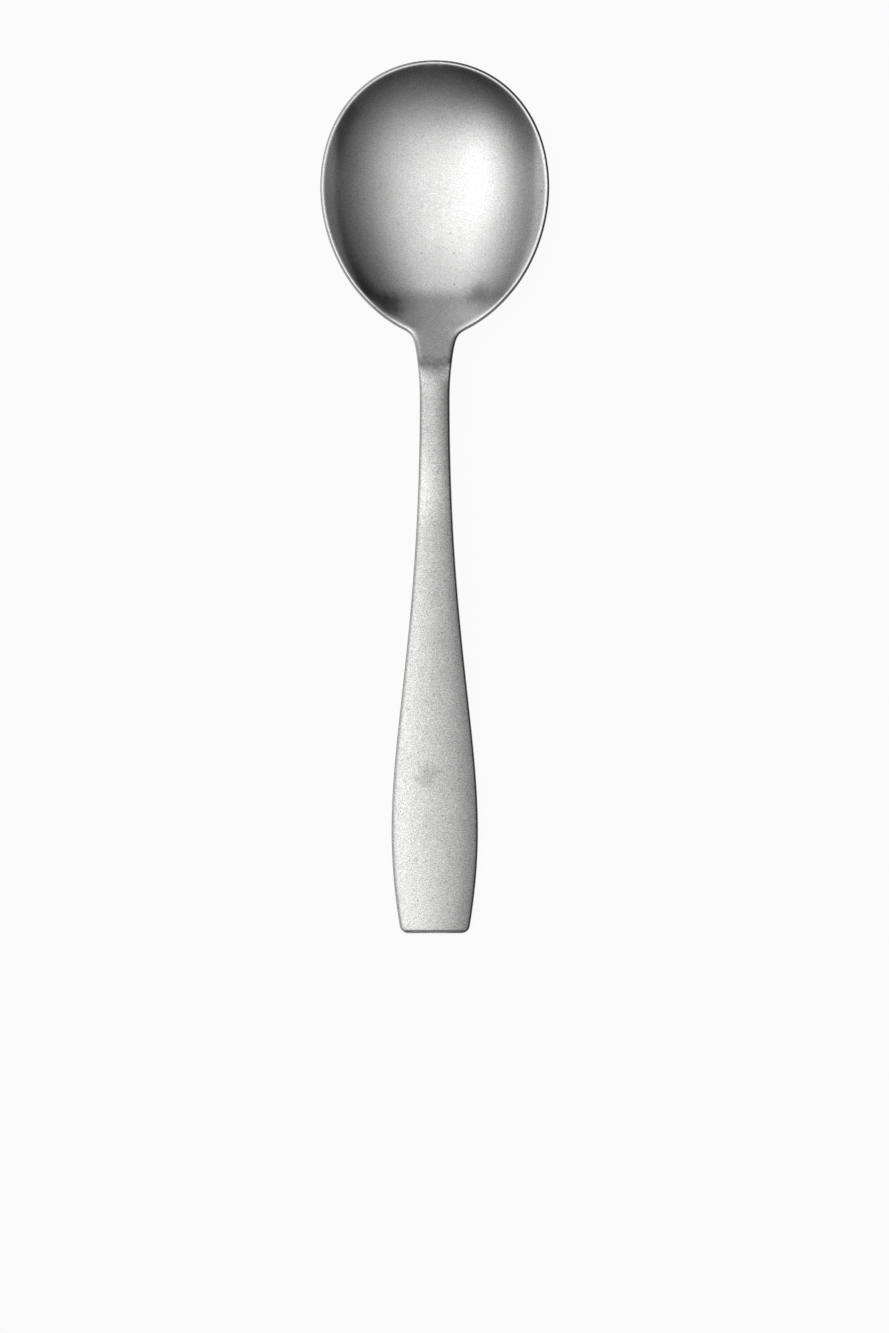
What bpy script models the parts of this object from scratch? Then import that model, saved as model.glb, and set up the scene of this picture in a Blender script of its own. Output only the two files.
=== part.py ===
"""Salad serving spoon: a pressed bowl whose tang sits in the socket of a forged handle.

Metres, +Z up, the table at z = 0, the tip of the bowl toward +Y. Lengths along the spoon are
taken from the tip of the bowl.
"""
import math

import bmesh
import bpy
import numpy
from mathutils import Matrix, Vector
from mathutils.geometry import interpolate_bezier

MM = 0.001
GAP = 0.3 * MM                    # clear space between the two pieces

# Bowl seen from above
BOWL_LENGTH = 70.3 * MM           # tip to the point where the outline turns out into the shank
BOWL_WIDTH = 60.4 * MM
BROADEST_FROM_TIP = 33.5 * MM
TIP_FULLNESS = 0.58               # pull of the tip curve, 0.55 is an ellipse
REAR_PULL = 12.1 * MM             # pull of the rear curve at the broadest point
TURN_PULL = 16.9 * MM             # pull of the rear curve at the turn
TURN_WIDTH = 19.8 * MM            # width across the two turns
TURN_ANGLE = math.radians(60)     # outline against the long axis at the turn
FLARE_PULL = 4.2 * MM             # pull of the flare at the turn
SHANK_PULL = 8.8 * MM             # pull of the flare at the seam
SHANK_LENGTH = 10.1 * MM          # turn to the seam
SHANK_WIDTH = 9.0 * MM            # at the seam
RIM_WIDTH = 1.4 * MM              # rim seen from above

# Bowl seen from the side
BOWL_DEPTH = 9.5 * MM             # rim plane down to the floor
DEEPEST_FROM_TIP = 36.2 * MM
TIP_POWER = 2.8                   # 2 makes a parabola, more a flatter floor and a steeper wall
TIP_STRAIGHT = 0.96               # share of the way to the tip from which the wall goes on straight
SIDE_POWER = 2.4                  # the same two for the side walls
SIDE_STRAIGHT = 0.92
FLOOR_LENGTH = 23.2 * MM          # deepest point back to the bend at the foot of the ramp
FLOOR_SLOPE = math.tan(math.radians(16.5))
BEND_LENGTH = 3.6 * MM            # hollow bend between the floor and the ramp
RAMP_SLOPE = math.tan(math.radians(25.5))
REAR_DROP = 1.0 * MM              # the rim comes down by this before the shank
REAR_DROP_LENGTH = 8.0 * MM       # on this way to the turn
RIM_POWER = 3.0                   # 2 makes a round rim, more a squarer one
LIP_FROM_MIDDLE = 26.1 * MM       # line beyond which the side walls lean out to a lip
LIP_BEND = 45.0 * MM              # radius of that line behind the deepest place
LIP_NEAREST = 18.0 * MM           # the line comes no nearer to the middle than this
LIP_TURN = 0.18                   # slope that the walls lose there
LIP_SOFTNESS = 0.25 * MM
RIM_BLEND = 0.6 * MM              # softness of the change from rim to shank
GAUGE = 1.5 * MM                  # sheet of the bowl
SHANK_GAUGE = 2.7 * MM            # upright thickness at the seam
FOOT_DEPTH = 0.2 * MM             # ground off below to leave a flat foot

# Handle seen from above
HANDLE_LENGTH = 149.6 * MM        # seam to the end
NECK_AFTER_SEAM = 9.6 * MM
NECK_WIDTH = 7.9 * MM
NECK_PULL = 58.5 * MM             # pull of the flank at the neck
BROAD_PULL = 27.3 * MM            # pull of the flank at the broadest point
BROAD_WIDTH = 22.8 * MM
BROAD_FROM_END = 27.0 * MM
END_WIDTH = 17.8 * MM
CORNER_RADIUS = 1.8 * MM
END_ROUND = 0.8 * MM              # rounding over the end edge

# Handle seen from the side
NECK_THICKNESS = 3.5 * MM
END_THICKNESS = 4.4 * MM          # before the rest is ground flat
RISE_SLOPE = math.tan(math.radians(12))
RISE_LENGTH = 10.0 * MM           # seam to the bend over the crest
CREST_LENGTH = 34.0 * MM          # bend over the crest
TAIL_SHARE = 0.5                  # slope left at the rest, as a share of the slope behind the crest
REST_LENGTH = 9.0 * MM            # flat underside at the end
SHOULDER_SOFTNESS = 0.3 * MM      # softness of the change from ramp to handle
CROWN_TILT = math.radians(18.5)   # slope of the domed top where the edge rounding starts
CROWN_START = 6.0 * MM            # stretch behind the seam in which the dome grows
EDGE_WIDTH = 0.55 * MM            # rounded edge seen from above

# Tang
TANG_WIDTH = 5.0 * MM
TANG_THICKNESS = 1.2 * MM
TANG_LENGTH = 12.0 * MM
TANG_ROOT = 1.2 * MM              # part of the tang that runs inside the shank

# Places worked out from the sizes
SEAM = BOWL_LENGTH + SHANK_LENGTH
END = SEAM + HANDLE_LENGTH
BEND = DEEPEST_FROM_TIP + FLOOR_LENGTH
RAMP_START = BEND + BEND_LENGTH
FLOOR = GAUGE - FOOT_DEPTH
RIM_HEIGHT = FLOOR + BOWL_DEPTH
NECK = SEAM + NECK_AFTER_SEAM
BROAD = END - BROAD_FROM_END
CREST = SEAM + RISE_LENGTH
FALL = CREST + CREST_LENGTH
REST = END - REST_LENGTH

# Mesh fineness
TIP_STEPS = 14
REAR_STEPS = 14
FLARE_STEPS = 12
SEAM_STEPS = 8
DISH_RINGS = 12
RIM_RINGS = 4
FOOT_SHARE = 0.14                 # innermost ring as a share of the way from middle to rim
NECK_STEPS = 8
FLANK_STEPS = 18
TAPER_STEPS = 7
CORNER_STEPS = 6
CROWN_STEPS = 5
EDGE_STEPS = 3
BACK_STEPS = 4
FINE_STEPS = 400                  # points of the inner outline that widths are read from
ROUND_PULL = 0.55                 # pull of a quarter round


def smooth_step(low, high, value):
    """0 up to low, 1 from high, with an even rise between them."""
    share = min(max((value - low) / (high - low), 0.0), 1.0)
    return share * share * (3 - 2 * share)


def soft_max(value, least, softness):
    """The larger of two heights, rounded where they cross."""
    return value + softness * math.log1p(math.exp((least - value) / softness))


def arc_rise(across, span, rise):
    """Height of a circular arc that starts level and has climbed by rise at span."""
    if rise < 1e-9:
        return 0.0
    radius = (span * span + rise * rise) / (2 * rise)
    return radius - math.sqrt(max(radius * radius - across * across, 0.0))


def place(across, along, height):
    """Point of the spoon from its distance to the middle line, to the tip and to the table."""
    return Vector((across, END / 2 - along, height))


def bezier_chain(pieces):
    """Points along curves that follow each other, without the doubled ends."""
    points = []
    for *corners, steps in pieces:
        piece = interpolate_bezier(*[Vector(corner) for corner in corners], steps + 1)
        points += piece if not points else piece[1:]
    return points


def bowl_side(tip_steps, rear_steps, flare_steps):
    """Right edge of bowl and shank, tip to seam, as points (along, across)."""
    half = BOWL_WIDTH / 2
    turn = Vector((BOWL_LENGTH, TURN_WIDTH / 2))
    lean = Vector((math.cos(TURN_ANGLE), -math.sin(TURN_ANGLE)))
    seam = Vector((SEAM, SHANK_WIDTH / 2))
    neck_slope = (SHANK_WIDTH - NECK_WIDTH) / NECK_AFTER_SEAM
    broadest = (BROADEST_FROM_TIP, half)
    return bezier_chain([
        ((0, 0), (0, half * TIP_FULLNESS), (BROADEST_FROM_TIP * (1 - TIP_FULLNESS), half),
         broadest, tip_steps),
        (broadest, (BROADEST_FROM_TIP + REAR_PULL, half), turn - lean * TURN_PULL, turn, rear_steps),
        (turn, turn + lean * FLARE_PULL, seam + SHANK_PULL * Vector((-1, neck_slope)), seam,
         flare_steps),
    ])


def outward(points):
    """Direction square to the outline at each of its points, away from the bowl."""
    ways = [Vector((-1, 0))]
    for before, after in zip(points, points[2:]):
        step = after - before
        ways.append(Vector((-step.y, step.x)).normalized())
    ways.append(Vector((0, 1)))
    return ways


def inner_side(*steps):
    """The right edge moved in by the width of the rim, with the way out at each point."""
    points = bowl_side(*steps)
    ways = outward(points)
    return [(point - way * RIM_WIDTH, way) for point, way in zip(points, ways)]


INNER_ALONG, INNER_ACROSS = numpy.array(
    [point for point, _ in inner_side(FINE_STEPS, FINE_STEPS, FINE_STEPS)]).T


def climb(along, start, length, first, last):
    """Height gained on a stretch whose slope changes evenly from first to last."""
    run = min(max(along - start, 0.0), length)
    return run * (first + (last - first) * run / length / 2)


def wall_rise(share, power, straight):
    """Rise of a wall from 0 to 1 on its way to the rim: a curve that ends in a straight."""
    slope = power * straight ** (power - 1)
    whole = straight ** power + slope * (1 - straight)
    return (min(share, straight) ** power + slope * max(share - straight, 0.0)) / whole


def centre_height(along):
    """Upper face of bowl and shank on the middle line."""
    if along < DEEPEST_FROM_TIP:
        share = (DEEPEST_FROM_TIP - along) / (DEEPEST_FROM_TIP - RIM_WIDTH)
        return FLOOR + BOWL_DEPTH * wall_rise(share, TIP_POWER, TIP_STRAIGHT)
    return (FLOOR + climb(along, DEEPEST_FROM_TIP, FLOOR_LENGTH, 0.0, FLOOR_SLOPE)
            + climb(along, BEND, BEND_LENGTH, FLOOR_SLOPE, RAMP_SLOPE)
            + max(along - RAMP_START, 0.0) * RAMP_SLOPE)


def dish_height(across, along):
    """Upper face of bowl and shank, from the middle line up to the inner edge of the rim."""
    centre = centre_height(along)
    rim = RIM_HEIGHT
    if along > DEEPEST_FROM_TIP:
        drop = REAR_DROP * smooth_step(BOWL_LENGTH - REAR_DROP_LENGTH, BOWL_LENGTH, along)
        rim = soft_max(centre, RIM_HEIGHT - drop, RIM_BLEND)
    half = max(float(numpy.interp(along, INNER_ALONG, INNER_ACROSS)), 1e-6)
    wall = max(rim - centre, 0.0) * wall_rise(abs(across / half), SIDE_POWER, SIDE_STRAIGHT)
    back = max(along - DEEPEST_FROM_TIP, 0.0)
    lip_line = max(LIP_FROM_MIDDLE - back ** 2 / (2 * LIP_BEND), LIP_NEAREST)
    lip = LIP_TURN * soft_max(abs(across) - lip_line, 0.0, LIP_SOFTNESS)
    return centre + wall - lip


def dish_offset(across, along):
    """Step from the upper face to the lower one, square to the sheet but upright at the seam."""
    step = 0.05 * MM
    slope_x = (dish_height(across + step, along) - dish_height(across - step, along)) / (2 * step)
    slope_y = (dish_height(across, along - step) - dish_height(across, along + step)) / (2 * step)
    normal = Vector((-slope_x, -slope_y, 1)).normalized()
    upright = smooth_step(RAMP_START, SEAM, along)
    way = Vector((normal.x, normal.y * (1 - upright), normal.z)).normalized()
    shank_gauge = SHANK_GAUGE / math.hypot(1, RAMP_SLOPE)
    thickness = GAUGE + (shank_gauge - GAUGE) * upright
    return way * (-thickness / way.dot(normal))


def dish_edge():
    """Inner edge of the rim all the way round, from the tip by the right, with the ways out."""
    side = inner_side(TIP_STEPS, REAR_STEPS, FLARE_STEPS)
    corner = side[-1][0]
    right = [(point.y, point.x, Vector((way.y, -way.x, 0)), True) for point, way in side]
    for count in range(1, SEAM_STEPS):
        share = 1 - count / SEAM_STEPS
        right.append((corner.y * share, SEAM, Vector((0, -1, 0)), False))
    seam_middle = [(0.0, SEAM, Vector((0, -1, 0)), False)]
    left = [(-across, along, Vector((-way.x, way.y, 0)), rounded)
            for across, along, way, rounded in reversed(right[1:])]
    return right + seam_middle + left


def lower_point(upper, offset):
    """Point on the lower face, where the foot is ground flat at the table."""
    point = upper + offset
    point.z = max(point.z, 0.0)
    return point


def rim_points(upper, lower, way, rounded):
    """Points of the rim from upper to lower edge: a squarish round that reaches the outline."""
    middle = (upper + lower) / 2
    half = (upper - lower) / 2
    reach = -half.dot(way)
    bulge = Vector((0, 0, 0))
    if rounded:
        rise = way - half * (way.dot(half) / half.length_squared)
        rise.normalize()
        power = RIM_POWER / (RIM_POWER - 1)
        size = max((RIM_WIDTH - reach) ** power - max(reach, 0.0) ** power, 0.0) ** (1 / power)
        bulge = rise * (max(size, 0.1 * MM) / rise.dot(way))
    points = []
    for count in range(1, RIM_RINGS + 1):
        turn = math.pi * count / (RIM_RINGS + 1)
        down = math.copysign(abs(math.cos(turn)) ** (2 / RIM_POWER), math.cos(turn))
        points.append(middle + half * down + bulge * math.sin(turn) ** (2 / RIM_POWER))
    return points


def bowl_rings():
    """Rings of the bowl from the middle of its upper face round the rim to the lower face."""
    shares = [FOOT_SHARE + (1 - FOOT_SHARE) * count / (DISH_RINGS - 1) for count in range(DISH_RINGS)]
    spokes = []
    for across, along, way, rounded in dish_edge():
        upper = []
        lower = []
        for share in shares:
            x = across * share
            s = DEEPEST_FROM_TIP + (along - DEEPEST_FROM_TIP) * share
            upper.append(place(x, s, dish_height(x, s)))
            lower.append(lower_point(upper[-1], dish_offset(x, s)))
        rim = rim_points(upper[-1], lower[-1], way, rounded)
        spokes.append(upper + rim + lower[::-1])
    return list(zip(*spokes))


def arch_height(along):
    """Underside of the handle before the rest is ground flat: over the crest and down to the rest."""
    front = centre_height(SEAM) - SHANK_GAUGE
    height = front + RISE_SLOPE * (RISE_LENGTH + CREST_LENGTH / 2)
    fall = -height / (CREST_LENGTH / 2 + (REST - FALL) * (1 + TAIL_SHARE) / 2)
    tail = fall * TAIL_SHARE
    return (front + climb(along, SEAM, RISE_LENGTH, RISE_SLOPE, RISE_SLOPE)
            + climb(along, CREST, CREST_LENGTH, RISE_SLOPE, fall)
            + climb(along, FALL, REST - FALL, fall, tail)
            + max(along - REST, 0.0) * tail)


def back_height(along):
    """Underside of the handle with its flat rest on the table."""
    return max(arch_height(along), 0.0)


def top_height(along):
    """Top of the handle on the middle line, which goes on from the ramp of the shank."""
    thickness = NECK_THICKNESS + (END_THICKNESS - NECK_THICKNESS) * (along - SEAM) / HANDLE_LENGTH
    return -soft_max(-arch_height(along) - thickness, -centre_height(along), SHOULDER_SOFTNESS)


def taper_half(along):
    """Half width between the broadest point of the handle and its end."""
    share = (along - BROAD) / BROAD_FROM_END
    return (BROAD_WIDTH - (BROAD_WIDTH - END_WIDTH) * share ** 2) / 2


def handle_plan():
    """Half widths of the handle from the seam to the end, as points (along, across)."""
    plan = []
    front = SEAM + GAP
    for count in range(NECK_STEPS):
        along = front + (NECK - front) * count / NECK_STEPS
        share = (NECK - along) / NECK_AFTER_SEAM
        plan.append((along, (NECK_WIDTH + (SHANK_WIDTH - NECK_WIDTH) * share ** 2) / 2))
    plan += [tuple(point) for point in bezier_chain([
        ((NECK, NECK_WIDTH / 2), (NECK + NECK_PULL, NECK_WIDTH / 2),
         (BROAD - BROAD_PULL, BROAD_WIDTH / 2), (BROAD, BROAD_WIDTH / 2), FLANK_STEPS)])]
    corner = END - CORNER_RADIUS
    for count in range(1, TAPER_STEPS):
        along = BROAD + (corner - BROAD) * count / TAPER_STEPS
        plan.append((along, taper_half(along)))
    for count in range(CORNER_STEPS + 1):
        turn = math.radians(90) * count / CORNER_STEPS
        along = corner + CORNER_RADIUS * math.sin(turn)
        plan.append((along, taper_half(along) - CORNER_RADIUS * (1 - math.cos(turn))))
    return plan


def handle_half_section(along, half):
    """Right half of a section, top to underside, as points (across, height)."""
    top = top_height(along)
    back = back_height(along)
    flat = half - EDGE_WIDTH
    crown = flat * math.tan(CROWN_TILT / 2) * smooth_step(SEAM, SEAM + CROWN_START, along)
    edge_top = top - crown
    edge_mid = (edge_top + back) / 2
    drop = EDGE_WIDTH * math.tan(2 * math.atan(crown / flat))
    section = []
    for count in range(CROWN_STEPS):
        across = flat * count / CROWN_STEPS
        section.append(Vector((across, top - arc_rise(across, flat, crown))))
    section += bezier_chain([
        ((flat, edge_top), (flat + EDGE_WIDTH * ROUND_PULL, edge_top - drop * ROUND_PULL),
         (half, edge_mid + (edge_top - drop - edge_mid) * ROUND_PULL), (half, edge_mid), EDGE_STEPS),
        ((half, edge_mid), (half, edge_mid + (back - edge_mid) * ROUND_PULL),
         (flat + EDGE_WIDTH * (1 - ROUND_PULL), back), (flat, back), EDGE_STEPS)])
    for count in range(1, BACK_STEPS + 1):
        section.append(Vector((flat * (1 - count / BACK_STEPS), back)))
    return section


def handle_rings():
    """Sections of the handle from the seam to the end, thinned over the rounded end edge."""
    rings = []
    for along, half in handle_plan():
        right = handle_half_section(along, half)
        loop = right + [Vector((-point.x, point.y)) for point in reversed(right[1:-1])]
        middle = (right[0].y + right[-1].y) / 2
        short = max(1 - (END - along) / END_ROUND, 0.0)
        thin = max(math.sqrt(1 - short ** 2), 0.35)
        rings.append([place(point.x, along, middle + (point.y - middle) * thin) for point in loop])
    return rings


def new_object(name, bm, collection):
    """Turn a finished bmesh into an object of a collection."""
    mesh = bpy.data.meshes.new(name)
    bm.to_mesh(mesh)
    bm.free()
    item = bpy.data.objects.new(name, mesh)
    collection.objects.link(item)
    return item


def turn_index(across, up, count):
    """Number of a point on a circle of count points, from the top by the right."""
    return round(math.atan2(across, up) / (2 * math.pi) * count) % count


def make_bowl(collection):
    """A sphere pressed to a dish: upper half to the inside, equator to the rim, rest to the back."""
    rings = bowl_rings()
    spokes = len(rings[0])
    levels = len(rings) + 1
    floor = place(0, DEEPEST_FROM_TIP, dish_height(0, DEEPEST_FROM_TIP))
    foot = lower_point(floor, dish_offset(0, DEEPEST_FROM_TIP))
    bm = bmesh.new()
    bmesh.ops.create_uvsphere(bm, u_segments=spokes, v_segments=levels, radius=1)
    for vert in bm.verts:
        level = round(math.acos(max(min(vert.co.z, 1.0), -1.0)) / math.pi * levels)
        spoke = turn_index(vert.co.x, vert.co.y, spokes)
        if level == 0:
            vert.co = floor
        elif level == levels:
            vert.co = foot
        else:
            vert.co = rings[level - 1][spoke]
    return new_object("bowl", bm, collection)


def make_handle(collection):
    """A cylinder along the spoon whose rings are moved to the sections of the handle."""
    rings = handle_rings()
    points = len(rings[0])
    bm = bmesh.new()
    bmesh.ops.create_cone(bm, cap_ends=True, segments=points, radius1=1, radius2=1, depth=2)
    walls = [edge for edge in bm.edges if abs(edge.verts[0].co.z - edge.verts[1].co.z) > 1]
    bmesh.ops.subdivide_edges(bm, edges=walls, cuts=len(rings) - 2, use_grid_fill=True)
    for vert in bm.verts:
        ring = round((vert.co.z + 1) / 2 * (len(rings) - 1))
        vert.co = rings[ring][turn_index(vert.co.x, vert.co.y, points)]
    return new_object("handle", bm, collection)


def make_tang_block(name, clearance, collection):
    """Box along the front of the handle, the tang itself or, with clearance, its socket."""
    slope = math.atan2(back_height(SEAM + TANG_LENGTH) - back_height(SEAM), TANG_LENGTH)
    middle = centre_height(SEAM) - SHANK_GAUGE / 2
    length = TANG_ROOT + TANG_LENGTH + clearance
    size = (TANG_WIDTH + 2 * clearance, length, TANG_THICKNESS + 2 * clearance)
    bm = bmesh.new()
    bmesh.ops.create_cube(bm, size=1)
    bmesh.ops.scale(bm, vec=size, verts=bm.verts)
    bmesh.ops.translate(bm, vec=(0, TANG_ROOT - length / 2, 0), verts=bm.verts)
    bmesh.ops.rotate(bm, matrix=Matrix.Rotation(-slope, 3, "X"), verts=bm.verts)
    bmesh.ops.translate(bm, vec=place(0, SEAM, middle), verts=bm.verts)
    block = new_object(name, bm, collection)
    block.hide_render = True
    block.display_type = "WIRE"
    return block


def apply_block(item, block, operation):
    """Join a block to an item, or cut it out."""
    cut = item.modifiers.new(block.name, "BOOLEAN")
    cut.object = block
    cut.operation = operation
    cut.solver = "EXACT"


def finish(item, material):
    """Round shading with sharp edges kept, and the material."""
    item.data.materials.append(material)
    item.data.shade_smooth()
    item.data.set_sharp_from_angle(angle=math.radians(40))


def steel(name, colour, roughness):
    """Plain stainless steel."""
    material = bpy.data.materials.new(name)
    material.use_nodes = True
    shader = material.node_tree.nodes["Principled BSDF"]
    shader.inputs["Base Color"].default_value = (*colour, 1)
    shader.inputs["Metallic"].default_value = 1.0
    shader.inputs["Roughness"].default_value = roughness
    material.diffuse_color = (*colour, 1)
    return material


def new_collection(name):
    """Empty collection in the scene."""
    collection = bpy.data.collections.new(name)
    bpy.context.scene.collection.children.link(collection)
    return collection


for old in list(bpy.data.objects):
    bpy.data.objects.remove(old)

spoon = new_collection("salad_serving_spoon")
helpers = new_collection("helpers")

bowl = make_bowl(spoon)
apply_block(bowl, make_tang_block("tang", 0.0, helpers), "UNION")
finish(bowl, steel("bowl_steel", (0.64, 0.64, 0.635), 0.2))

handle = make_handle(spoon)
apply_block(handle, make_tang_block("socket", GAP, helpers), "DIFFERENCE")
finish(handle, steel("handle_steel", (0.55, 0.55, 0.545), 0.26))
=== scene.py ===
"""Looks of the salad serving spoon: smooth bowl and handle, satin steel, floor, light and camera.

Metres, +Z up, the floor at z = 0, the tip of the bowl toward +Y. Lengths along the spoon are
taken from the tip of the bowl.
"""
import math

import bpy
import numpy
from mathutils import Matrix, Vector
from mathutils.geometry import interpolate_bezier


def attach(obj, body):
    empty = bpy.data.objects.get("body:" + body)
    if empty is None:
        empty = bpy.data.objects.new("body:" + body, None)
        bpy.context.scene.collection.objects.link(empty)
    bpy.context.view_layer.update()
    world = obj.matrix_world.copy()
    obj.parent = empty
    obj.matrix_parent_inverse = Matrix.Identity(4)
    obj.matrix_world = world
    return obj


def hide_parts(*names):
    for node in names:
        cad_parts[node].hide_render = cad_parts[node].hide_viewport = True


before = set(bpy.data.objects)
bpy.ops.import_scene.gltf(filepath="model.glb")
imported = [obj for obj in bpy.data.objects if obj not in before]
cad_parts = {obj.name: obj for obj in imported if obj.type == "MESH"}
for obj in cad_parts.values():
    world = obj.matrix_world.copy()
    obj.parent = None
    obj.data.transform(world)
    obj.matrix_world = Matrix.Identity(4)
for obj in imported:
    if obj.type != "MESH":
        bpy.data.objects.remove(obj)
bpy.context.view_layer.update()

MM = 0.001

# Bowl seen from above
BOWL_LENGTH = 70.3 * MM           # tip to the point where the outline turns out into the shank
BOWL_WIDTH = 60.4 * MM
BROADEST_FROM_TIP = 33.5 * MM
TIP_FULLNESS = 0.58               # pull of the tip curve, 0.55 is an ellipse
REAR_PULL = 12.1 * MM             # pull of the rear curve at the broadest point
TURN_PULL = 16.9 * MM             # pull of the rear curve at the turn
TURN_WIDTH = 19.8 * MM            # width across the two turns
TURN_ANGLE = math.radians(60)     # outline against the long axis at the turn
FLARE_PULL = 4.2 * MM             # pull of the flare at the turn
SHANK_PULL = 8.8 * MM             # pull of the flare at the seam
SHANK_LENGTH = 10.1 * MM          # turn to the seam
SHANK_WIDTH = 9.0 * MM            # at the seam
RIM_WIDTH = 1.4 * MM              # rim seen from above

# Bowl seen from the side
BOWL_DEPTH = 9.5 * MM             # rim plane down to the floor
DEEPEST_FROM_TIP = 36.2 * MM
TIP_POWER = 2.8                   # 2 makes a parabola, more a flatter floor and a steeper wall
TIP_STRAIGHT = 0.96               # share of the way to the tip from which the wall goes on straight
SIDE_POWER = 2.4                  # the same two for the side walls
SIDE_STRAIGHT = 0.92
FLOOR_LENGTH = 23.2 * MM          # deepest point back to the bend at the foot of the ramp
FLOOR_SLOPE = math.tan(math.radians(16.5))
BEND_LENGTH = 3.6 * MM            # hollow bend between the floor and the ramp
RAMP_SLOPE = math.tan(math.radians(25.5))
REAR_DROP = 1.0 * MM              # the rim comes down by this before the shank
REAR_DROP_LENGTH = 8.0 * MM       # on this way to the turn
RIM_POWER = 3.0                   # 2 makes a round rim, more a squarer one
LIP_FROM_MIDDLE = 26.1 * MM       # line beyond which the side walls lean out to a lip
LIP_BEND = 45.0 * MM              # radius of that line behind the deepest place
LIP_NEAREST = 18.0 * MM           # the line comes no nearer to the middle than this
LIP_TURN = 0.18                   # slope that the walls lose there
LIP_SOFTNESS = 0.25 * MM
RIM_BLEND = 0.6 * MM              # softness of the change from rim to shank
GAUGE = 1.5 * MM                  # sheet of the bowl
SHANK_GAUGE = 2.7 * MM            # upright thickness at the seam
FOOT_DEPTH = 0.2 * MM             # ground off below to leave a flat foot

# Handle seen from above
HANDLE_LENGTH = 149.6 * MM        # seam to the end
NECK_AFTER_SEAM = 9.6 * MM
NECK_WIDTH = 7.9 * MM
NECK_PULL = 58.5 * MM             # pull of the flank at the neck
BROAD_PULL = 27.3 * MM            # pull of the flank at the broadest point
BROAD_WIDTH = 22.8 * MM
BROAD_FROM_END = 27.0 * MM
END_WIDTH = 17.8 * MM
CORNER_RADIUS = 1.8 * MM
END_ROUND = 0.8 * MM              # rounding over the end edge

# Handle seen from the side
NECK_THICKNESS = 3.5 * MM
END_THICKNESS = 4.4 * MM          # before the rest is ground flat
RISE_SLOPE = math.tan(math.radians(12))
RISE_LENGTH = 10.0 * MM           # seam to the bend over the crest
CREST_LENGTH = 34.0 * MM          # bend over the crest
TAIL_SHARE = 0.5                  # slope left at the rest, as a share of the slope behind the crest
REST_LENGTH = 9.0 * MM            # flat underside at the end
SHOULDER_SOFTNESS = 0.3 * MM      # softness of the change from ramp to handle
CROWN_TILT = math.radians(18.5)   # slope of the domed top where the edge rounding starts
CROWN_START = 6.0 * MM            # stretch behind the seam in which the dome grows
EDGE_WIDTH = 0.55 * MM            # rounded edge seen from above

# Places worked out from the sizes
SEAM = BOWL_LENGTH + SHANK_LENGTH
END = SEAM + HANDLE_LENGTH
BEND = DEEPEST_FROM_TIP + FLOOR_LENGTH
RAMP_START = BEND + BEND_LENGTH
FLOOR = GAUGE - FOOT_DEPTH
RIM_HEIGHT = FLOOR + BOWL_DEPTH
NECK = SEAM + NECK_AFTER_SEAM
BROAD = END - BROAD_FROM_END
CREST = SEAM + RISE_LENGTH
FALL = CREST + CREST_LENGTH
REST = END - REST_LENGTH

# Mesh fineness
TIP_STEPS = 64
REAR_STEPS = 64
FLARE_STEPS = 40
SEAM_STEPS = 12
DISH_RINGS = 44
RIM_RINGS = 11
FOOT_SHARE = 0.02                 # innermost ring as a share of the way from middle to rim
NECK_STEPS = 30
FLANK_STEPS = 90
TAPER_STEPS = 24
CORNER_STEPS = 14
CROWN_STEPS = 16
EDGE_STEPS = 8
BACK_STEPS = 10
FINE_STEPS = 400                  # points of the inner outline that widths are read from
ROUND_PULL = 0.55                 # pull of a quarter round

# Photograph: size in pixels, scale, where the spoon's middle lies in it, and the camera
PHOTO_WIDTH = 889
PHOTO_HEIGHT = 1333
PIXEL = 0.263 * MM
SPOON_X = 434.8
SPOON_Y = 495.3
CAMERA_DISTANCE = 2.5
CAMERA_LEAN = math.radians(2.5)   # off the upright, toward the end of the handle
CAMERA_AIM = 10 * MM              # height of the point that the camera looks at
SENSOR = 36.0                     # millimetres on the film, along the picture's long side

# Finish and light
BOWL_COLOUR = (0.63, 0.63, 0.626)
BOWL_ROUGHNESS = 0.16
BOWL_GRAIN_DEPTH = 0.34           # how far the grain goes below and above the plain tone
BOWL_PIT_SPACING = 4 * MM
HANDLE_COLOUR = (0.55, 0.55, 0.545)
HANDLE_ROUGHNESS = 0.22
HANDLE_GRAIN_DEPTH = 0.6
HANDLE_PIT_SPACING = 2.6 * MM
GRAIN_SIZE = 0.3 * MM
BOWL_SHADE_AND_SPOT = [                    # across, along, reach and tone of each dark spot: painted shade in the two corners at the foot of the ramp, then a spot by the left lip
    (-11.8 * MM, 64.6 * MM, 5 * MM, 0.48),
    (11.4 * MM, 61.1 * MM, 4.5 * MM, 0.65),
    (-22.3 * MM, 13.8 * MM, 4 * MM, 0.75),
]
HANDLE_SPOT = (-2 * MM, 188.7 * MM, 4.5 * MM, 0.78)
CREST_SHADE_FROM_SEAM = 20 * MM          # middle of the painted shade over the crest
BOWL_LIGHT_WAY = (-0.43, -0.25, 0.87)   # way toward the light: rounded edges that face away from it get painted shade
HANDLE_LIGHT_WAY = (-0.5, 0.0, 0.87)
EDGE_DARK = 0.04                  # darkest painted shade, on rounded edges that face away from it
EDGE_TONE = 0.35                  # painted shade on all steep edges
SIDE_TONE = 0.55                  # painted shade on upright sides
FLOOR_GLOW = 0.92                 # share of the floor's white that does not depend on the light
DIM = 0.003                       # sky between the lights
LIGHTS = [                        # angle to the left, toward the tip, sharpness, strength
    (math.radians(30), math.radians(-7), 13.0, 0.75),
    (math.radians(-13), math.radians(-6), 4.6, 0.6),
    (math.radians(20), math.radians(18), 4.8, 1.08),
    (math.radians(70), math.radians(40), 6.0, 0.13),
    (math.radians(-65), math.radians(40), 6.0, 0.03),
    (math.radians(93), math.radians(3), 34.0, 2.0),
]


def smooth_step(low, high, value):
    """0 up to low, 1 from high, with an even rise between them."""
    share = min(max((value - low) / (high - low), 0.0), 1.0)
    return share * share * (3 - 2 * share)


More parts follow.
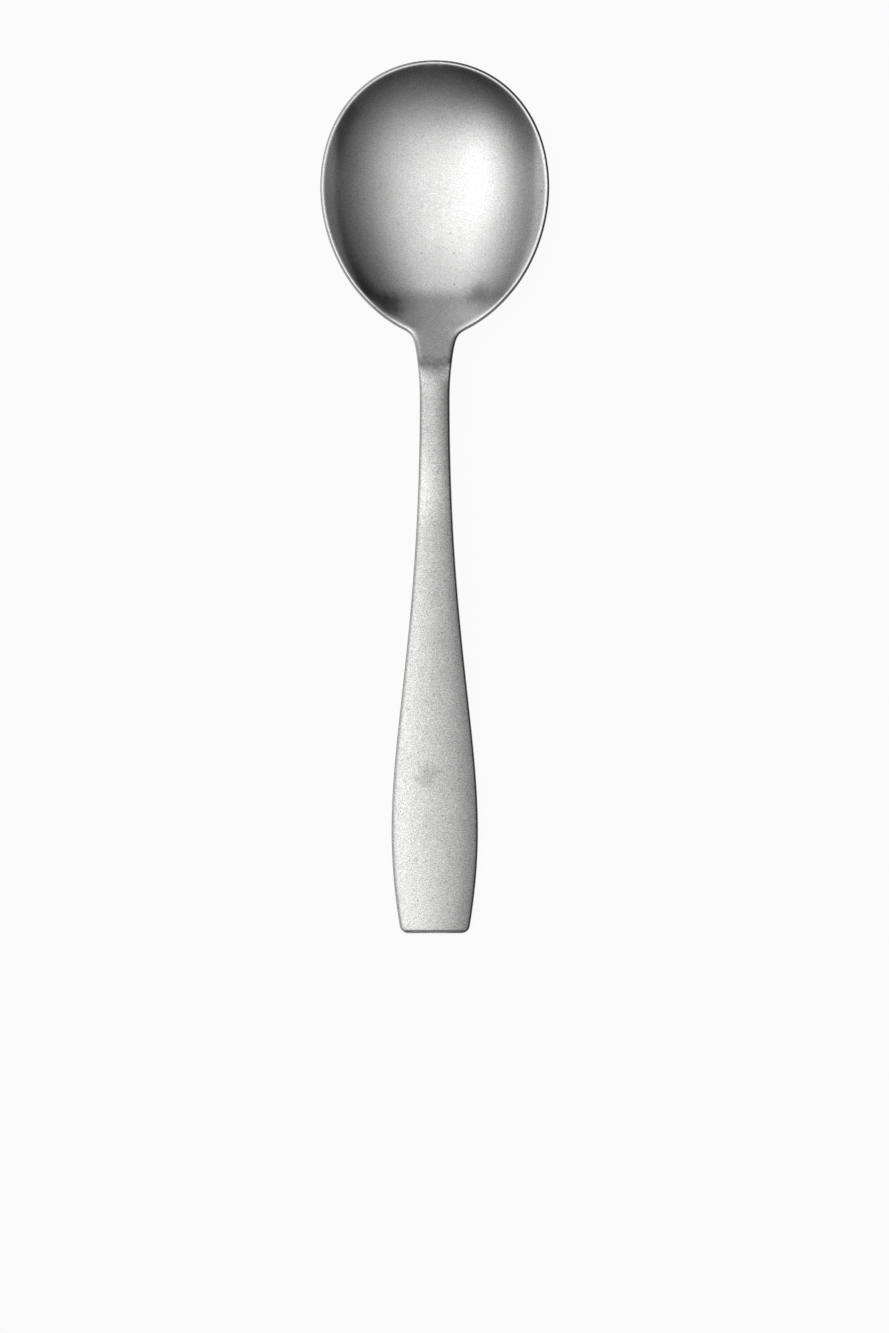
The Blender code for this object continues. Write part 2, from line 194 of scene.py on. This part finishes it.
def soft_max(value, least, softness):
    """The larger of two heights, rounded where they cross."""
    return value + softness * math.log1p(math.exp((least - value) / softness))


def arc_rise(across, span, rise):
    """Height of a circular arc that starts level and has climbed by rise at span."""
    if rise < 1e-9:
        return 0.0
    radius = (span * span + rise * rise) / (2 * rise)
    return radius - math.sqrt(max(radius * radius - across * across, 0.0))


def place(across, along, height):
    """Point of the spoon from its distance to the middle line, to the tip and to the table."""
    return Vector((across, END / 2 - along, height))


def bezier_chain(pieces):
    """Points along curves that follow each other, without the doubled ends."""
    points = []
    for *corners, steps in pieces:
        piece = interpolate_bezier(*[Vector(corner) for corner in corners], steps + 1)
        points += piece if not points else piece[1:]
    return points


def bowl_side(tip_steps, rear_steps, flare_steps):
    """Right edge of bowl and shank, tip to seam, as points (along, across)."""
    half = BOWL_WIDTH / 2
    turn = Vector((BOWL_LENGTH, TURN_WIDTH / 2))
    lean = Vector((math.cos(TURN_ANGLE), -math.sin(TURN_ANGLE)))
    seam = Vector((SEAM, SHANK_WIDTH / 2))
    neck_slope = (SHANK_WIDTH - NECK_WIDTH) / NECK_AFTER_SEAM
    broadest = (BROADEST_FROM_TIP, half)
    return bezier_chain([
        ((0, 0), (0, half * TIP_FULLNESS), (BROADEST_FROM_TIP * (1 - TIP_FULLNESS), half),
         broadest, tip_steps),
        (broadest, (BROADEST_FROM_TIP + REAR_PULL, half), turn - lean * TURN_PULL, turn, rear_steps),
        (turn, turn + lean * FLARE_PULL, seam + SHANK_PULL * Vector((-1, neck_slope)), seam,
         flare_steps),
    ])


def outward(points):
    """Direction square to the outline at each of its points, away from the bowl."""
    ways = [Vector((-1, 0))]
    for before, after in zip(points, points[2:]):
        step = after - before
        ways.append(Vector((-step.y, step.x)).normalized())
    ways.append(Vector((0, 1)))
    return ways


def inner_side(*steps):
    """The right edge moved in by the width of the rim, with the way out at each point."""
    points = bowl_side(*steps)
    ways = outward(points)
    return [(point - way * RIM_WIDTH, way) for point, way in zip(points, ways)]


INNER_ALONG, INNER_ACROSS = numpy.array(
    [point for point, _ in inner_side(FINE_STEPS, FINE_STEPS, FINE_STEPS)]).T


def climb(along, start, length, first, last):
    """Height gained on a stretch whose slope changes evenly from first to last."""
    run = min(max(along - start, 0.0), length)
    return run * (first + (last - first) * run / length / 2)


def wall_rise(share, power, straight):
    """Rise of a wall from 0 to 1 on its way to the rim: a curve that ends in a straight."""
    slope = power * straight ** (power - 1)
    whole = straight ** power + slope * (1 - straight)
    return (min(share, straight) ** power + slope * max(share - straight, 0.0)) / whole


def centre_height(along):
    """Upper face of bowl and shank on the middle line."""
    if along < DEEPEST_FROM_TIP:
        share = (DEEPEST_FROM_TIP - along) / (DEEPEST_FROM_TIP - RIM_WIDTH)
        return FLOOR + BOWL_DEPTH * wall_rise(share, TIP_POWER, TIP_STRAIGHT)
    return (FLOOR + climb(along, DEEPEST_FROM_TIP, FLOOR_LENGTH, 0.0, FLOOR_SLOPE)
            + climb(along, BEND, BEND_LENGTH, FLOOR_SLOPE, RAMP_SLOPE)
            + max(along - RAMP_START, 0.0) * RAMP_SLOPE)


def dish_height(across, along):
    """Upper face of bowl and shank, from the middle line up to the inner edge of the rim."""
    centre = centre_height(along)
    rim = RIM_HEIGHT
    if along > DEEPEST_FROM_TIP:
        drop = REAR_DROP * smooth_step(BOWL_LENGTH - REAR_DROP_LENGTH, BOWL_LENGTH, along)
        rim = soft_max(centre, RIM_HEIGHT - drop, RIM_BLEND)
    half = max(float(numpy.interp(along, INNER_ALONG, INNER_ACROSS)), 1e-6)
    wall = max(rim - centre, 0.0) * wall_rise(abs(across / half), SIDE_POWER, SIDE_STRAIGHT)
    back = max(along - DEEPEST_FROM_TIP, 0.0)
    lip_line = max(LIP_FROM_MIDDLE - back ** 2 / (2 * LIP_BEND), LIP_NEAREST)
    lip = LIP_TURN * soft_max(abs(across) - lip_line, 0.0, LIP_SOFTNESS)
    return centre + wall - lip


def dish_offset(across, along):
    """Step from the upper face to the lower one, square to the sheet but upright at the seam."""
    step = 0.05 * MM
    slope_x = (dish_height(across + step, along) - dish_height(across - step, along)) / (2 * step)
    slope_y = (dish_height(across, along - step) - dish_height(across, along + step)) / (2 * step)
    normal = Vector((-slope_x, -slope_y, 1)).normalized()
    upright = smooth_step(RAMP_START, SEAM, along)
    way = Vector((normal.x, normal.y * (1 - upright), normal.z)).normalized()
    shank_gauge = SHANK_GAUGE / math.hypot(1, RAMP_SLOPE)
    thickness = GAUGE + (shank_gauge - GAUGE) * upright
    return way * (-thickness / way.dot(normal))


def dish_edge():
    """Inner edge of the rim all the way round, from the tip by the right, with the ways out."""
    side = inner_side(TIP_STEPS, REAR_STEPS, FLARE_STEPS)
    corner = side[-1][0]
    right = [(point.y, point.x, Vector((way.y, -way.x, 0)), True) for point, way in side]
    for count in range(1, SEAM_STEPS):
        share = 1 - count / SEAM_STEPS
        right.append((corner.y * share, SEAM, Vector((0, -1, 0)), False))
    seam_middle = [(0.0, SEAM, Vector((0, -1, 0)), False)]
    left = [(-across, along, Vector((-way.x, way.y, 0)), rounded)
            for across, along, way, rounded in reversed(right[1:])]
    return right + seam_middle + left


def lower_point(upper, offset):
    """Point on the lower face, where the foot is ground flat at the table."""
    point = upper + offset
    point.z = max(point.z, 0.0)
    return point


def rim_points(upper, lower, way, rounded):
    """Points of the rim from upper to lower edge: a squarish round that reaches the outline."""
    middle = (upper + lower) / 2
    half = (upper - lower) / 2
    reach = -half.dot(way)
    bulge = Vector((0, 0, 0))
    if rounded:
        rise = way - half * (way.dot(half) / half.length_squared)
        rise.normalize()
        power = RIM_POWER / (RIM_POWER - 1)
        size = max((RIM_WIDTH - reach) ** power - max(reach, 0.0) ** power, 0.0) ** (1 / power)
        bulge = rise * (max(size, 0.1 * MM) / rise.dot(way))
    points = []
    for count in range(1, RIM_RINGS + 1):
        turn = math.pi * count / (RIM_RINGS + 1)
        down = math.copysign(abs(math.cos(turn)) ** (2 / RIM_POWER), math.cos(turn))
        points.append(middle + half * down + bulge * math.sin(turn) ** (2 / RIM_POWER))
    return points


def bowl_rings():
    """Rings of the bowl from the middle of its upper face round the rim to the lower face."""
    shares = [FOOT_SHARE + (1 - FOOT_SHARE) * count / (DISH_RINGS - 1) for count in range(DISH_RINGS)]
    spokes = []
    for across, along, way, rounded in dish_edge():
        upper = []
        lower = []
        for share in shares:
            x = across * share
            s = DEEPEST_FROM_TIP + (along - DEEPEST_FROM_TIP) * share
            upper.append(place(x, s, dish_height(x, s)))
            lower.append(lower_point(upper[-1], dish_offset(x, s)))
        rim = rim_points(upper[-1], lower[-1], way, rounded)
        spokes.append(upper + rim + lower[::-1])
    return list(zip(*spokes))


def arch_height(along):
    """Underside of the handle before the rest is ground flat: over the crest and down to the rest."""
    front = centre_height(SEAM) - SHANK_GAUGE
    height = front + RISE_SLOPE * (RISE_LENGTH + CREST_LENGTH / 2)
    fall = -height / (CREST_LENGTH / 2 + (REST - FALL) * (1 + TAIL_SHARE) / 2)
    tail = fall * TAIL_SHARE
    return (front + climb(along, SEAM, RISE_LENGTH, RISE_SLOPE, RISE_SLOPE)
            + climb(along, CREST, CREST_LENGTH, RISE_SLOPE, fall)
            + climb(along, FALL, REST - FALL, fall, tail)
            + max(along - REST, 0.0) * tail)


def back_height(along):
    """Underside of the handle with its flat rest on the table."""
    return max(arch_height(along), 0.0)


def top_height(along):
    """Top of the handle on the middle line, which goes on from the ramp of the shank."""
    thickness = NECK_THICKNESS + (END_THICKNESS - NECK_THICKNESS) * (along - SEAM) / HANDLE_LENGTH
    return -soft_max(-arch_height(along) - thickness, -centre_height(along), SHOULDER_SOFTNESS)


def taper_half(along):
    """Half width between the broadest point of the handle and its end."""
    share = (along - BROAD) / BROAD_FROM_END
    return (BROAD_WIDTH - (BROAD_WIDTH - END_WIDTH) * share ** 2) / 2


def handle_plan():
    """Half widths of the handle from the seam to the end, as points (along, across)."""
    plan = []
    for count in range(NECK_STEPS):
        along = SEAM + (NECK - SEAM) * count / NECK_STEPS
        share = (NECK - along) / NECK_AFTER_SEAM
        plan.append((along, (NECK_WIDTH + (SHANK_WIDTH - NECK_WIDTH) * share ** 2) / 2))
    plan += [tuple(point) for point in bezier_chain([
        ((NECK, NECK_WIDTH / 2), (NECK + NECK_PULL, NECK_WIDTH / 2),
         (BROAD - BROAD_PULL, BROAD_WIDTH / 2), (BROAD, BROAD_WIDTH / 2), FLANK_STEPS)])]
    corner = END - CORNER_RADIUS
    for count in range(1, TAPER_STEPS):
        along = BROAD + (corner - BROAD) * count / TAPER_STEPS
        plan.append((along, taper_half(along)))
    for count in range(CORNER_STEPS + 1):
        turn = math.radians(90) * count / CORNER_STEPS
        along = corner + CORNER_RADIUS * math.sin(turn)
        plan.append((along, taper_half(along) - CORNER_RADIUS * (1 - math.cos(turn))))
    return plan


def handle_half_section(along, half):
    """Right half of a section, top to underside, as points (across, height)."""
    top = top_height(along)
    back = back_height(along)
    flat = half - EDGE_WIDTH
    crown = flat * math.tan(CROWN_TILT / 2) * smooth_step(SEAM, SEAM + CROWN_START, along)
    edge_top = top - crown
    edge_mid = (edge_top + back) / 2
    drop = EDGE_WIDTH * math.tan(2 * math.atan(crown / flat))
    section = []
    for count in range(CROWN_STEPS):
        across = flat * count / CROWN_STEPS
        section.append(Vector((across, top - arc_rise(across, flat, crown))))
    section += bezier_chain([
        ((flat, edge_top), (flat + EDGE_WIDTH * ROUND_PULL, edge_top - drop * ROUND_PULL),
         (half, edge_mid + (edge_top - drop - edge_mid) * ROUND_PULL), (half, edge_mid), EDGE_STEPS),
        ((half, edge_mid), (half, edge_mid + (back - edge_mid) * ROUND_PULL),
         (flat + EDGE_WIDTH * (1 - ROUND_PULL), back), (flat, back), EDGE_STEPS)])
    for count in range(1, BACK_STEPS + 1):
        section.append(Vector((flat * (1 - count / BACK_STEPS), back)))
    return section


def handle_rings():
    """Sections of the handle from the seam to the end, thinned over the rounded end edge."""
    rings = []
    for along, half in handle_plan():
        right = handle_half_section(along, half)
        loop = right + [Vector((-point.x, point.y)) for point in reversed(right[1:-1])]
        middle = (right[0].y + right[-1].y) / 2
        short = max(1 - (END - along) / END_ROUND, 0.0)
        thin = max(math.sqrt(1 - short ** 2), 0.35)
        rings.append([place(point.x, along, middle + (point.y - middle) * thin) for point in loop])
    return rings


def ring_mesh(name, first, rings, last):
    """Smooth closed skin through rings of points."""
    count = len(rings[0])
    points = [first] + [point for ring in rings for point in ring] + [last]
    faces = []
    for spoke in range(count):
        after = (spoke + 1) % count
        faces.append((0, 1 + after, 1 + spoke))
        for level in range(len(rings) - 1):
            near = 1 + level * count
            far = near + count
            faces.append((near + spoke, near + after, far + after, far + spoke))
        end = 1 + (len(rings) - 1) * count
        faces.append((end + spoke, end + after, len(points) - 1))
    mesh = bpy.data.meshes.new(name)
    mesh.from_pydata(points, [], faces)
    mesh.shade_smooth()
    mesh.set_sharp_from_angle(angle=math.radians(40))
    return mesh


def add_piece(node, mesh, material):
    """Put a mesh in the scene in place of a node of the frame."""
    mesh.materials.append(material)
    piece = bpy.data.objects.new(mesh.name, mesh)
    bpy.context.scene.collection.objects.link(piece)
    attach(piece, "root")
    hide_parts(node)


def make_bowl(material):
    """Dished bowl with its rounded rim, ramp and shank."""
    floor = place(0, DEEPEST_FROM_TIP, dish_height(0, DEEPEST_FROM_TIP))
    foot = lower_point(floor, dish_offset(0, DEEPEST_FROM_TIP))
    mesh = ring_mesh("bowl_body", floor, bowl_rings(), foot)
    add_piece("bowl", mesh, material)


def make_handle(material):
    """Arched handle with a domed top and a flat back."""
    rings = handle_rings()
    front = sum(rings[0], Vector()) / len(rings[0])
    end = sum(rings[-1], Vector()) / len(rings[-1])
    mesh = ring_mesh("handle_body", front, rings, end)
    add_piece("handle", mesh, material)


def add_node(tree, kind, inputs, **settings):
    """Shader node with its settings, whose inputs are set to values or linked to outputs."""
    node = tree.nodes.new(kind)
    for key, value in settings.items():
        setattr(node, key, value)
    for key, value in inputs.items():
        if isinstance(value, bpy.types.NodeSocket):
            tree.links.new(value, node.inputs[key])
        else:
            node.inputs[key].default_value = value
    return node


def calc(tree, operation, *values):
    """Result of a sum on outputs and numbers."""
    return add_node(tree, "ShaderNodeMath", dict(enumerate(values)), operation=operation).outputs[0]


def product(tree, values):
    """Outputs multiplied with each other."""
    result = values[0]
    for value in values[1:]:
        result = calc(tree, "MULTIPLY", result, value)
    return result


def remap(tree, value, low, high, to_low, to_high, blend="LINEAR"):
    """Value between low and high carried over to another range, held at its ends."""
    sizes = {0: value, 1: low, 2: high, 3: to_low, 4: to_high}
    return add_node(tree, "ShaderNodeMapRange", sizes, interpolation_type=blend).outputs[0]


def noise(tree, where, size, detail):
    """Cloudy pattern, around one half, with lumps of about the given size."""
    inputs = {"Vector": where, "Scale": 1 / size, "Detail": detail, "Roughness": 0.6}
    return add_node(tree, "ShaderNodeTexNoise", inputs).outputs[0]


def pits(tree, where, spacing, share):
    """1 on the bare metal, darker on small pits in a share of the cells of a loose grid."""
    cells = add_node(tree, "ShaderNodeTexVoronoi", {"Vector": where, "Scale": 1 / spacing})
    split = add_node(tree, "ShaderNodeSeparateColor", {0: cells.outputs["Color"]})
    empty = calc(tree, "GREATER_THAN", split.outputs[0], share)
    dot = remap(tree, cells.outputs["Distance"], 0.1 * MM / spacing, 0.32 * MM / spacing, 0.45, 1.0)
    return calc(tree, "MAXIMUM", dot, empty)


def scratches(tree, where, angle, length, width):
    """1 on thin broken lines that run along one direction."""
    turned = add_node(tree, "ShaderNodeMapping", {
        "Vector": where, "Rotation": (0, 0, angle), "Scale": (1 / width, 1 / length, 1 / length)})
    field = add_node(tree, "ShaderNodeTexNoise", {
        "Vector": turned.outputs[0], "Scale": 1.0, "Detail": 0.0}).outputs[0]
    apart = calc(tree, "ABSOLUTE", calc(tree, "SUBTRACT", field, 0.5))
    line = remap(tree, apart, 0.004, 0.012, 1.0, 0.0)
    breaks = remap(tree, noise(tree, where, 7 * MM, 1.0), 0.5, 0.6, 0.0, 1.0)
    return calc(tree, "MULTIPLY", line, breaks)


def seam_braze_and_shade(tree, space):
    """Darker band where the braze was cleaned off the neck, partly painted shade of the shoulder there.
    """
    where = space["Object"]
    along = add_node(tree, "ShaderNodeSeparateXYZ", {0: where}).outputs[1]
    ragged = remap(tree, noise(tree, where, 1.6 * MM, 3.0), 0.3, 0.7, -1.4 * MM, 1.4 * MM)
    shifted = calc(tree, "ADD", along, ragged)
    apart = calc(tree, "ABSOLUTE", calc(tree, "SUBTRACT", shifted, END / 2 - SEAM))
    return remap(tree, apart, 0.3 * MM, 2.4 * MM, 0.7, 1.0, "SMOOTHSTEP")


def stain_and_shade_spot(tree, where, middle, reach, tone):
    """1 away from a dark spot with a ragged edge, used both for a stained patch and for painted shade.
    """
    ragged = add_node(tree, "ShaderNodeTexNoise", {
        "Vector": where, "Scale": 1 / (2 * MM), "Detail": 3.0}).outputs["Color"]
    shifted = add_node(tree, "ShaderNodeVectorMath", {
        0: ragged, 1: (reach, reach, 0.0), 2: where}, operation="MULTIPLY_ADD")
    centre = middle + Vector((reach / 2, reach / 2, 0.0))
    apart = add_node(tree, "ShaderNodeVectorMath", {
        0: shifted.outputs[0], 1: centre}, operation="DISTANCE").outputs["Value"]
    return remap(tree, apart, 0.2 * reach, reach, tone, 1.0, "SMOOTHSTEP")


def painted_edge_shade(tree, normal, light_way):
    """1 on broad faces, with painted shade elsewhere: some on upright sides, most on rounded edges that
    face away from the light.
    """
    upright = calc(tree, "ABSOLUTE", add_node(tree, "ShaderNodeSeparateXYZ", {0: normal}).outputs[2])
    broad = remap(tree, upright, 0.72, 0.84, 0.0, 1.0)
    facing = add_node(tree, "ShaderNodeVectorMath", {0: normal, 1: light_way}, operation="DOT_PRODUCT")
    lit = remap(tree, facing.outputs["Value"], 0.3, 0.62, EDGE_DARK, 1.0)
    steep = remap(tree, upright, 0.45, 0.72, EDGE_TONE, 1.0)
    rounded = calc(tree, "MULTIPLY", steep, calc(tree, "MAXIMUM", lit, broad))
    side = remap(tree, upright, 0.1, 0.4, SIDE_TONE, 0.0)
    return calc(tree, "MAXIMUM", rounded, side)


def satin_steel(name, colour, roughness, grain_depth, pit_spacing, light_way, marks_and_shades):
    """Stainless steel with fine grain, clouding, pits, scratches, painted shade on edge sides, and the
    further tones it is given.
    """
    material = bpy.data.materials.new(name)
    material.use_nodes = True
    tree = material.node_tree
    shader = tree.nodes["Principled BSDF"]
    space = add_node(tree, "ShaderNodeTexCoord", {}).outputs
    where = space["Object"]
    grain = noise(tree, where, GRAIN_SIZE, 3.0)
    cloud = noise(tree, where, 9 * MM, 4.0)
    lines = calc(tree, "MAXIMUM", scratches(tree, where, 0.06, 30 * MM, 1.1 * MM),
                 scratches(tree, where, 0.9, 16 * MM, 2.3 * MM))
    tone = product(tree, [
        remap(tree, grain, 0.25, 0.75, 1 - grain_depth, 1 + grain_depth),
        remap(tree, cloud, 0.3, 0.7, 0.95, 1.05),
        remap(tree, lines, 0.0, 1.0, 1.0, 1.07),
        pits(tree, where, pit_spacing, 0.35),
        # painted shade on steep edges and on sides that face away from the light
        painted_edge_shade(tree, space["Normal"], light_way),
    ] + [tone_layer(tree, space) for tone_layer in marks_and_shades])
    tint = add_node(tree, "ShaderNodeVectorMath", {0: colour, "Scale": tone}, operation="SCALE")
    rough = calc(tree, "ADD", remap(tree, cloud, 0.3, 0.7, roughness - 0.03, roughness + 0.03),
                 remap(tree, grain, 0.25, 0.75, -0.03, 0.03))
    height = calc(tree, "SUBTRACT", grain, calc(tree, "MULTIPLY", lines, 0.5))
    bump = add_node(tree, "ShaderNodeBump", {"Height": height, "Strength": 0.12, "Distance": 0.02 * MM})
    tree.links.new(tint.outputs[0], shader.inputs["Base Color"])
    tree.links.new(rough, shader.inputs["Roughness"])
    tree.links.new(bump.outputs[0], shader.inputs["Normal"])
    shader.inputs["Metallic"].default_value = 1.0
    return material


def corner_shade_and_spot(tree, space):
    """Painted shade in the two corners at the foot of the ramp, and a dark spot by the left lip."""
    spots = []
    for across, along, reach, tone in BOWL_SHADE_AND_SPOT:
        middle = place(across, along, dish_height(across, along))
        spots.append(stain_and_shade_spot(tree, space["Object"], middle, reach, tone))
    return product(tree, spots)


def bowl_finish():
    """Fine satin, lightly worn, with painted shade at the seam and in the corners at the foot of the
    ramp.
    """
    return satin_steel("bowl_finish", BOWL_COLOUR, BOWL_ROUGHNESS, BOWL_GRAIN_DEPTH, BOWL_PIT_SPACING,
                       BOWL_LIGHT_WAY, [seam_braze_and_shade, corner_shade_and_spot])


def painted_crest_shade(tree, space):
    """Painted shade: a darker stretch over the crest."""
    along = add_node(tree, "ShaderNodeSeparateXYZ", {0: space["Object"]}).outputs[1]
    apart = calc(tree, "ABSOLUTE", calc(tree, "SUBTRACT", along, END / 2 - SEAM - CREST_SHADE_FROM_SEAM))
    return remap(tree, apart, 3 * MM, 17 * MM, 0.8, 1.0, "SMOOTHSTEP")


def old_stain(tree, space):
    """Speckled stained film left of the middle on the broad part of the handle."""
    where = space["Object"]
    across, along, reach, tone = HANDLE_SPOT
    film = stain_and_shade_spot(tree, where, place(across, along, top_height(along)), reach, tone)
    outside = remap(tree, film, 0.82, 0.96, 0.0, 1.0)
    specks = pits(tree, where, 1.1 * MM, 0.6)
    return calc(tree, "MULTIPLY", film, calc(tree, "MAXIMUM", specks, outside))


def painted_side_light(tree, space):
    """Painted light where the crown leans over to the left, and painted shade at the right."""
    lean = add_node(tree, "ShaderNodeSeparateXYZ", {0: space["Normal"]}).outputs[0]
    side_highlight = remap(tree, lean, -0.31, -0.17, 1.2, 1.0)
    side_shade = remap(tree, lean, 0.17, 0.31, 1.0, 0.82)
    return calc(tree, "MULTIPLY", side_highlight, side_shade)


def handle_finish():
    """Coarser tumbled matte with painted shade over the crest, one old stained patch, and painted light
    on the left side with painted shade on the right.
    """
    return satin_steel("handle_finish", HANDLE_COLOUR, HANDLE_ROUGHNESS, HANDLE_GRAIN_DEPTH,
                       HANDLE_PIT_SPACING, HANDLE_LIGHT_WAY,
                       [seam_braze_and_shade, painted_crest_shade, old_stain, painted_side_light])


def make_world():
    """Studio dome: a broad soft light for each lobe, dim between them."""
    world = bpy.data.worlds.new("studio")
    bpy.context.scene.world = world
    world.use_nodes = True
    tree = world.node_tree
    way = add_node(tree, "ShaderNodeTexCoord", {}).outputs["Generated"]
    level = DIM
    for left, back, sharpness, strength in LIGHTS:
        axis = (-math.sin(left) * math.cos(back), math.sin(back), math.cos(left) * math.cos(back))
        near = add_node(tree, "ShaderNodeVectorMath", {0: way, 1: axis}, operation="DOT_PRODUCT")
        power = calc(tree, "MULTIPLY_ADD", near.outputs["Value"], sharpness, -sharpness)
        fade = calc(tree, "EXPONENT", power)
        level = calc(tree, "MULTIPLY_ADD", fade, strength, level)
    tree.links.new(level, tree.nodes["Background"].inputs["Strength"])
    tree.nodes["Background"].inputs["Color"].default_value = (1, 1, 1, 1)


def make_floor():
    """Pale floor that shows white to the camera and in reflections, but keeps the shadow."""
    size = 6.0
    mesh = bpy.data.meshes.new("floor")
    mesh.from_pydata([(-size, -size, 0), (size, -size, 0), (size, size, 0), (-size, size, 0)], [],
                     [(0, 1, 2, 3)])
    floor = bpy.data.objects.new("floor", mesh)
    bpy.context.scene.collection.objects.link(floor)
    material = bpy.data.materials.new("floor")
    material.use_nodes = True
    tree = material.node_tree
    tree.nodes.remove(tree.nodes["Principled BSDF"])
    path = add_node(tree, "ShaderNodeLightPath", {}).outputs
    seen = calc(tree, "MAXIMUM", path["Is Camera Ray"], path["Is Glossy Ray"])
    seen = calc(tree, "MAXIMUM", seen, path["Is Transmission Ray"])
    paint = add_node(tree, "ShaderNodeBsdfDiffuse", {"Color": (0.9, 0.9, 0.9, 1)})
    glow = add_node(tree, "ShaderNodeEmission", {"Color": (1, 1, 1, 1), "Strength": 1.0})
    mix = add_node(tree, "ShaderNodeMixShader", {
        0: calc(tree, "MULTIPLY", seen, FLOOR_GLOW), 1: paint.outputs[0], 2: glow.outputs[0]})
    tree.links.new(mix.outputs[0], tree.nodes["Material Output"].inputs["Surface"])
    mesh.materials.append(material)


def make_camera():
    """Camera almost straight above, framed as the photograph is."""
    data = bpy.data.cameras.new("camera")
    data.sensor_width = SENSOR
    data.lens = SENSOR * CAMERA_DISTANCE / (PHOTO_HEIGHT * PIXEL)
    camera = bpy.data.objects.new("camera", data)
    right = (PHOTO_WIDTH / 2 - SPOON_X) * PIXEL
    up = (SPOON_Y - PHOTO_HEIGHT / 2) * PIXEL
    target = Vector((right, up, CAMERA_AIM))
    back = Vector((0, -math.sin(CAMERA_LEAN), math.cos(CAMERA_LEAN)))
    camera.location = target + back * CAMERA_DISTANCE
    camera.rotation_euler = (CAMERA_LEAN, 0, 0)
    bpy.context.scene.collection.objects.link(camera)
    bpy.context.scene.camera = camera


make_bowl(bowl_finish())
make_handle(handle_finish())
make_floor()
make_world()
make_camera()
bpy.context.scene.view_settings.view_transform = "Standard"
